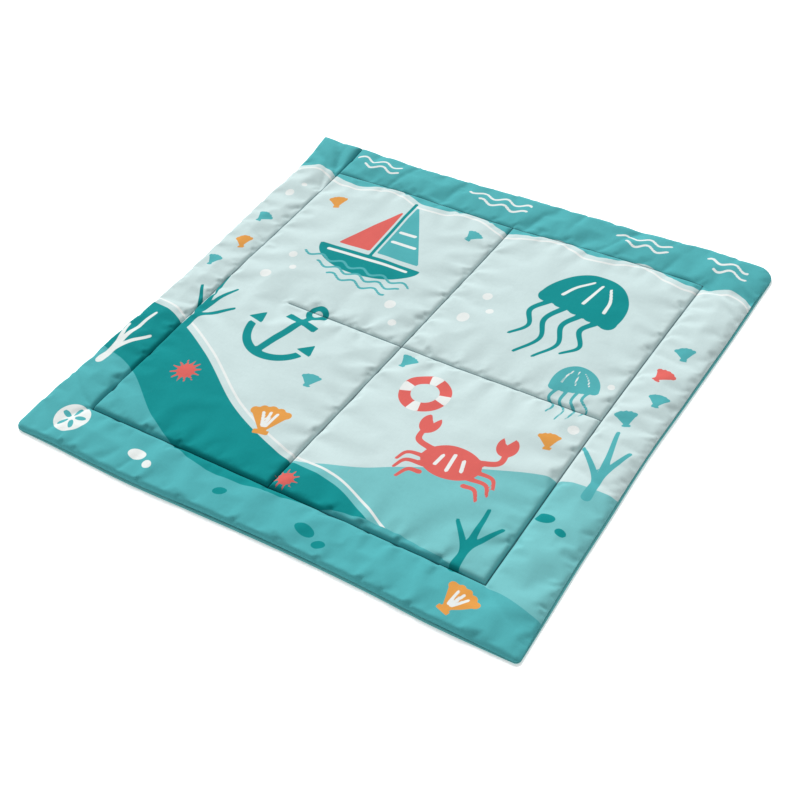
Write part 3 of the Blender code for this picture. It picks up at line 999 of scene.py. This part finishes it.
def printed(x, y):
    """All layers of the print over the points of the cloth."""
    paper = Print(x, y)
    paper.add("band", -paper.beyond_curve(SEA_EDGE))
    paper.add("light_dune", paper.beyond_curve(LIGHT_CREST))
    paper.add("dune", paper.beyond_curve(DARK_CREST))
    paper.add("front_dune", paper.beyond_curve(FRONT_CREST))
    sailboat(paper.motif((-0.190, 0.225), 0.235, 0.06))
    ripples(paper.motif((-0.190, 0.138)), 0.235, 3, "mid")
    jellyfish(paper.motif((0.235, 0.235), 0.200, -0.15), "dark", "pale")
    jellyfish(paper.motif((0.325, 0.045), 0.105, 0.22), "mid", "pale")
    anchor(paper.motif((-0.200, -0.075), 0.185, -0.25), "dark")
    crab(paper.motif((0.235, -0.215), 0.195, 0.10))
    life_ring(paper.motif((0.110, -0.092), 0.036))
    scallop_shell(paper.motif((-0.090, -0.285), 0.085, 0.25), "orange", "pale")
    scallop_shell(paper.motif((0.380, -0.455), 0.070, -0.35), "orange", "pale")
    sand_dollar(paper.motif((-0.410, -0.440), 0.034), "pale")
    urchin(paper.motif((-0.300, -0.250), 0.017), 12, "coral")
    urchin(paper.motif((0.020, -0.375), 0.013), 10, "coral")
    for start, width in ((-0.335, 0.10), (-0.060, 0.13), (0.250, 0.11), (0.420, 0.08)):
        ripples(paper.motif((start, 0.462)), width, 2, "pale")
    for *at, radius in BUBBLES:
        paper.add("pale", paper.disc(at, radius))
    for *at, long, short, angle, layer in PEBBLES:
        paper.add(layer, paper.oval(at, (long, short), angle))
    for *at, size, angle, layer in SMALL_SHELLS:
        scallop_shell(paper.motif(at, size, angle), layer)
    for root, blades, layer in GRASS:
        grass(paper.motif(root), blades, layer)
    return paper.layers


# Materials


def set_inputs(tree, node, inputs):
    """Give a node's inputs their values, or link them to the outputs of other nodes."""
    for key, value in inputs.items():
        if isinstance(value, bpy.types.NodeSocket):
            tree.links.new(value, node.inputs[key])
        else:
            node.inputs[key].default_value = value


def shader_tree(name, finish):
    """A new material with this finish, its nodes and its surface."""
    material = bpy.data.materials.new(name)
    material.use_nodes = True
    surface = material.node_tree.nodes["Principled BSDF"]
    set_inputs(material.node_tree, surface, finish)
    return material, material.node_tree, surface


def add_node(tree, kind, inputs, **settings):
    node = tree.nodes.new("ShaderNode" + kind)
    for name, value in settings.items():
        setattr(node, name, value)
    set_inputs(tree, node, inputs)
    return node


def math_node(tree, operation, *values):
    return add_node(tree, "Math", dict(enumerate(values)), operation=operation).outputs[0]


def attribute(tree, name, output="Fac"):
    node = add_node(tree, "Attribute", {}, attribute_type="GEOMETRY", attribute_name=name)
    return node.outputs[output]


def noise(tree, vector, scale, detail=2.0, roughness=0.5):
    inputs = {"Vector": vector, "Scale": scale, "Detail": detail, "Roughness": roughness}
    return add_node(tree, "TexNoise", inputs).outputs["Fac"]


def stretched(tree, vector, scale):
    return add_node(tree, "VectorMath", {0: vector, 1: scale}, operation="MULTIPLY").outputs[0]


def ramp(tree, value, low, high, to_low=0.0, to_high=1.0):
    inputs = {"Value": value, "From Min": low, "From Max": high, "To Min": to_low, "To Max": to_high}
    return add_node(tree, "MapRange", inputs, clamp=True).outputs["Result"]


def mixed(tree, share, first, second, blend="MIX"):
    """Two colours mixed; 6, 7 and 2 are the numbers of the node's colour sockets."""
    inputs = {0: share, 6: first, 7: second}
    return add_node(tree, "Mix", inputs, data_type="RGBA", blend_type=blend).outputs[2]


def bump(tree, height, strength, distance, **under):
    inputs = {"Height": height, "Strength": strength, "Distance": distance, **under}
    return add_node(tree, "Bump", inputs).outputs["Normal"]


def woven(tree, surface, colour):
    """A plain cotton weave: crossing threads, slubs, soft crinkles and slightly uneven dye."""
    cloth = attribute(tree, "cloth", "Vector")
    split = add_node(tree, "SeparateXYZ", {0: cloth}).outputs
    turn = 2 * np.pi / THREAD_PITCH
    across = math_node(tree, "SINE", math_node(tree, "MULTIPLY", split[0], turn))
    along = math_node(tree, "SINE", math_node(tree, "MULTIPLY", split[1], turn))
    weave = math_node(tree, "MULTIPLY", across, along)
    slubs_x = noise(tree, stretched(tree, cloth, (*SLUBS, 1)), 1.0)
    slubs_y = noise(tree, stretched(tree, cloth, (*SLUBS[::-1], 1)), 1.0)
    slubs = math_node(tree, "ADD", slubs_x, slubs_y)
    threads = math_node(tree, "ADD", math_node(tree, "MULTIPLY", weave, 0.35), slubs)
    crinkle = bump(tree, noise(tree, cloth, CRINKLES, 3.0, 0.55), BUMP_STRENGTH, CRINKLE_DEPTH)
    normal = bump(tree, threads, BUMP_STRENGTH, THREAD_DEPTH, Normal=crinkle)
    dye = ramp(tree, noise(tree, cloth, MOTTLES, 3.0, 0.6), 0.3, 0.7, 0.965, 1.015)
    light = math_node(tree, "ADD", dye, ramp(tree, slubs, 0.7, 1.3, -0.035, 0.035))
    tone = add_node(tree, "CombineXYZ", dict.fromkeys("XYZ", light)).outputs[0]
    dyed_cloth = mixed(tree, 1.0, colour, tone, "MULTIPLY")
    set_inputs(tree, surface, {"Base Color": dyed_cloth, "Normal": normal})


def printed_cotton():
    material, tree, surface = shader_tree("printed_cotton", COTTON)
    colour = PALE
    for name, paint in PRINT_COLOURS:
        distance = attribute(tree, name)
        if name in ("band", "dune"):
            from_line = math_node(tree, "ABSOLUTE", math_node(tree, "SUBTRACT", distance, LINE_AWAY))
            half = LINE_WIDTH / 2
            line = ramp(tree, from_line, half - PRINT_EDGE, half + PRINT_EDGE, 1.0, 0.0)
            colour = mixed(tree, line, colour, WHITE)
        share = ramp(tree, distance, -PRINT_EDGE, PRINT_EDGE, 1.0, 0.0)
        colour = mixed(tree, share, colour, paint)
    # Painted shade: the colour darkens towards each line of stitches, standing in for the shadow deep in
    # the crease
    painted_shade_share = ramp(tree, attribute(tree, "crease"), 0.0, CREASE_SHADE_REACH, 1.0, 0.0)
    woven(tree, surface, mixed(tree, painted_shade_share, colour, PAINTED_CREASE_SHADE, "MULTIPLY"))
    return material


def plain_cotton():
    material, tree, surface = shader_tree("plain_cotton", COTTON)
    uneven = noise(tree, attribute(tree, "cloth", "Vector"), 5.0)
    deeper = (BACK_TEAL[0] * 0.93, BACK_TEAL[1] * 0.96, BACK_TEAL[2] * 0.96, 1.0)
    woven(tree, surface, mixed(tree, uneven, BACK_TEAL, deeper))
    return material


def spun_thread():
    material, tree, surface = shader_tree("spun_thread", SPUN)
    strands = noise(tree, add_node(tree, "TexCoord", {}).outputs["Object"], 3000.0)
    colour = mixed(tree, strands, dimmed(THREAD, 0.82), THREAD)
    set_inputs(tree, surface, {"Base Color": colour, "Normal": bump(tree, strands, 0.4, 0.0001)})
    return material


def floor_paint():
    material, tree, surface = shader_tree("floor_paint", PAINT)
    patches = noise(tree, add_node(tree, "TexCoord", {}).outputs["Object"], 3.0)
    set_inputs(tree, surface, {"Base Color": mixed(tree, patches, dimmed(FLOOR, 0.985), FLOOR)})
    return material


# Stage, light and camera


def floor():
    points = [(x * FLOOR_HALF, y * FLOOR_HALF, 0) for x, y in ((-1, -1), (1, -1), (1, 1), (-1, 1))]
    piece = piece_from("floor", points, [(0, 1, 2, 3)], floor_paint())
    piece.location.z = -FLOOR_DROP


def studio():
    scene = bpy.context.scene
    scene.view_settings.view_transform = "Standard"
    scene.world = bpy.data.worlds.new("studio")
    scene.world.use_nodes = True
    sky = scene.world.node_tree.nodes["Background"]
    sky.inputs["Color"].default_value = (1.0, 1.0, 1.0, 1.0)
    sky.inputs["Strength"].default_value = SKY_STRENGTH
    sun = bpy.data.lights.new("window", "SUN")
    sun.energy = SUN_STRENGTH
    sun.angle = SUN_SOFTNESS
    window = new_object("window", sun)
    window.rotation_mode = "QUATERNION"
    window.rotation_quaternion = Vector(SUN_TOWARDS).to_track_quat("-Z", "Y")


def camera():
    data = bpy.data.cameras.new("camera")
    data.lens = CAMERA_LENS
    data.sensor_width = CAMERA_SENSOR
    thing = new_object("camera", data)
    thing.location = CAMERA_AT
    ahead = Vector(CAMERA_AIM) - Vector(CAMERA_AT)
    thing.rotation_mode = "QUATERNION"
    level = ahead.to_track_quat("-Z", "Y")
    thing.rotation_quaternion = Quaternion(ahead.normalized(), CAMERA_ROLL) @ level
    bpy.context.scene.camera = thing


# The mat


def dress():
    front = front_cloth(printed_cotton())
    back = back_cloth(plain_cotton())
    thread = stitches(spun_thread())
    for piece in (front, back, thread):
        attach(piece, "root")
    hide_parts("front_panel")
    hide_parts("back_panel")


camera()
studio()
floor()
dress()
